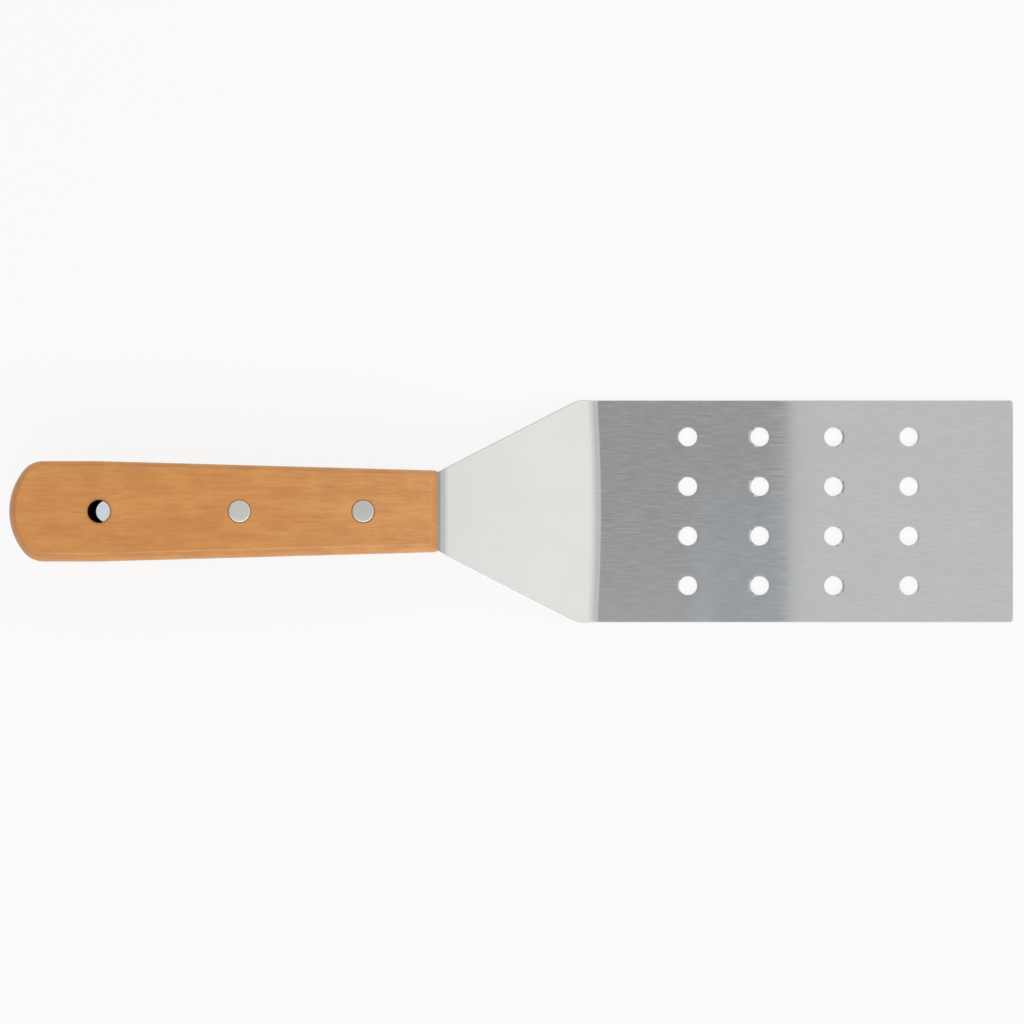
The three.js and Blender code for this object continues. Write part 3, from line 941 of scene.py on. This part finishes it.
class TURNER_OT_rivets(bpy.types.Operator):
    """Make the two compression rivets, each a solid stud pressed into a tubular socket"""

    bl_idname = "grill_turner.rivets"
    bl_label = "Rivets"

    def execute(self, context):
        rivets = context.scene.turner_rivets
        metal = sanded_rivet_metal(rivets)
        reach = STUD_HIGH_Z - HANDLE_MIDDLE_Z
        tree = rivet_group()
        halves = {"stud": stud_profile(rivets, reach), "socket": socket_profile(rivets, -reach)}
        for kind, profile in halves.items():
            half = make_object(kind, turned(kind, profile))
            row = make_object("row", bpy.data.meshes.new("row"))
            run_group(row, tree, {
                "Half": half, "First X": REAR_RIVET_X, "Pitch": FRONT_RIVET_X - REAR_RIVET_X,
                "Count": 2, "Height": HANDLE_MIDDLE_Z, "Material": metal})
            piece = baked_in(row, f"rivet_{kind}s")
            bpy.data.objects.remove(half)
            stand_for(shaded(piece, 40), "rivet_metal",
                      f"front_rivet_{kind}", f"rear_rivet_{kind}")
        return {"FINISHED"}


# ---------------------------------------------------------------- stage

def lit_table_top(settings):
    """A lit white table top: a pale matt sheet with light behind it, so shadows stay faint.

    Light from behind would wash out the shade under the handle, so a painted shadow dims it there.
    """
    material, tree, place = new_material("Pale table top")
    # A painted shadow: under the handle the floor's light is dimmed and cooled, fading out at the
    # edges.
    from_handle = add(tree, "ShaderNodeVectorMath", {
        0: place, 1: ((HANDLE_LOW.x + HANDLE_HIGH.x) / 2 / MM, 0.0, 0.0)}, operation="SUBTRACT")
    across = add(tree, "ShaderNodeSeparateXYZ", {0: from_handle}).outputs
    shade = 1.0
    for axis, reach in (("X", (HANDLE_HIGH.x - HANDLE_LOW.x) / 2), ("Y", HANDLE_HIGH.y)):
        away = add(tree, "ShaderNodeMath", {0: across[axis]}, operation="ABSOLUTE")
        under = add(tree, "ShaderNodeMapRange", {
            "Value": away, "From Min": (reach - settings.shade_edge) / MM,
            "From Max": reach / MM, "To Min": 1.0, "To Max": 0.0},
            interpolation_type="SMOOTHSTEP")
        shade = add(tree, "ShaderNodeMath", {0: under, 1: shade}, operation="MULTIPLY")
    light = layered(tree, settings.floor, ((shade, 0.0, 1.0, 1.0, settings.painted_shadow),))
    glow = add(tree, "ShaderNodeEmission", {"Color": light, "Strength": settings.floor_glow})
    top = add(tree, "ShaderNodeBsdfDiffuse", {"Color": (*settings.floor_top, 1.0)})
    both = add(tree, "ShaderNodeAddShader", {0: glow, 1: top})
    add(tree, "ShaderNodeOutputMaterial", {"Surface": both})
    return material


def lay_floor(settings):
    """The square floor that the tool lies on."""
    reach = settings.floor_size / 2
    corners = [(-reach, -reach, 0), (reach, -reach, 0), (reach, reach, 0), (-reach, reach, 0)]
    floor = make_object("floor", mesh_from("floor", corners, [(0, 1, 2, 3)]))
    floor.data.materials.append(lit_table_top(settings))


def light_sky(scene, settings):
    """The even light from everywhere."""
    scene.world = bpy.data.worlds.new("Studio")
    scene.world.use_nodes = True
    tree = scene.world.node_tree
    tree.nodes.clear()
    sky = add(tree, "ShaderNodeBackground", {
        "Color": (*settings.sky, 1.0), "Strength": settings.sky_glow})
    add(tree, "ShaderNodeOutputWorld", {"Surface": sky})


def hang_panel(name, place, turn, size, radiance, tint):
    """A soft rectangular panel, facing down until turned by degrees, that the camera can't see."""
    light = bpy.data.lights.new(name, "AREA")
    light.shape = "RECTANGLE"
    light.size, light.size_y = size
    light.energy = radiance * math.pi * size[0] * size[1]
    light.color = tint
    panel = bpy.data.objects.new(name, light)
    bpy.context.scene.collection.objects.link(panel)
    panel.location = place
    panel.rotation_euler = [math.radians(angle) for angle in turn]
    panel.visible_camera = False


def aim_camera(scene, settings):
    """The camera over the tool, looking straight down."""
    camera = bpy.data.cameras.new("camera")
    camera.lens = settings.lens
    camera.sensor_width = 36
    eye = bpy.data.objects.new("camera", camera)
    scene.collection.objects.link(eye)
    eye.location = (settings.camera_x, settings.camera_y, settings.camera_height)
    scene.camera = eye
    scene.view_settings.view_transform = "Standard"


class TURNER_OT_stage(bpy.types.Operator):
    """Make the pale floor, the soft studio lights and the camera over the tool"""

    bl_idname = "grill_turner.stage"
    bl_label = "Stage"

    def execute(self, context):
        settings = context.scene.turner_stage
        lay_floor(settings)
        light_sky(context.scene, settings)
        for name, near, far, height, radiance, tint in LIGHT_SHEETS:
            hang_panel(name, ((near + far) / 2, 0, height), (0, 0, 0),
                       (far - near, LIGHT_SHEET_WIDTH), radiance, tint)
        for panel in LIGHT_PANELS:
            hang_panel(*panel)
        aim_camera(context.scene, settings)
        return {"FINISHED"}


# ---------------------------------------------------------------- panel and registration

class TURNER_PT_build(bpy.types.Panel):
    """The turner's settings and the operators that build it"""

    bl_idname = "TURNER_PT_build"
    bl_label = "Grill Turner"
    bl_space_type = "VIEW_3D"
    bl_region_type = "UI"
    bl_category = "Grill Turner"

    def draw(self, context):
        for group, operator in STEPS:
            box = self.layout.box()
            settings = getattr(context.scene, group)
            for key in settings.bl_rna.properties.keys():
                if key not in ("rna_type", "name"):
                    box.prop(settings, key)
            box.operator(operator.bl_idname)


GROUPS = {
    "turner_blade": BladeSettings,
    "turner_handle": HandleSettings,
    "turner_rivets": RivetSettings,
    "turner_stage": StageSettings,
}
STEPS = [
    ("turner_blade", TURNER_OT_blade),
    ("turner_handle", TURNER_OT_handle),
    ("turner_rivets", TURNER_OT_rivets),
    ("turner_stage", TURNER_OT_stage),
]


def register():
    for name, group in GROUPS.items():
        bpy.utils.register_class(group)
        setattr(bpy.types.Scene, name, bpy.props.PointerProperty(type=group))
    for _, operator in STEPS:
        bpy.utils.register_class(operator)
    bpy.utils.register_class(TURNER_PT_build)


def unregister():
    bpy.utils.unregister_class(TURNER_PT_build)
    for _, operator in reversed(STEPS):
        bpy.utils.unregister_class(operator)
    for name, group in GROUPS.items():
        delattr(bpy.types.Scene, name)
        bpy.utils.unregister_class(group)


def main():
    register()
    bpy.ops.grill_turner.blade()
    bpy.ops.grill_turner.handle()
    bpy.ops.grill_turner.rivets()
    bpy.ops.grill_turner.stage()


if __name__ == "__main__":
    main()
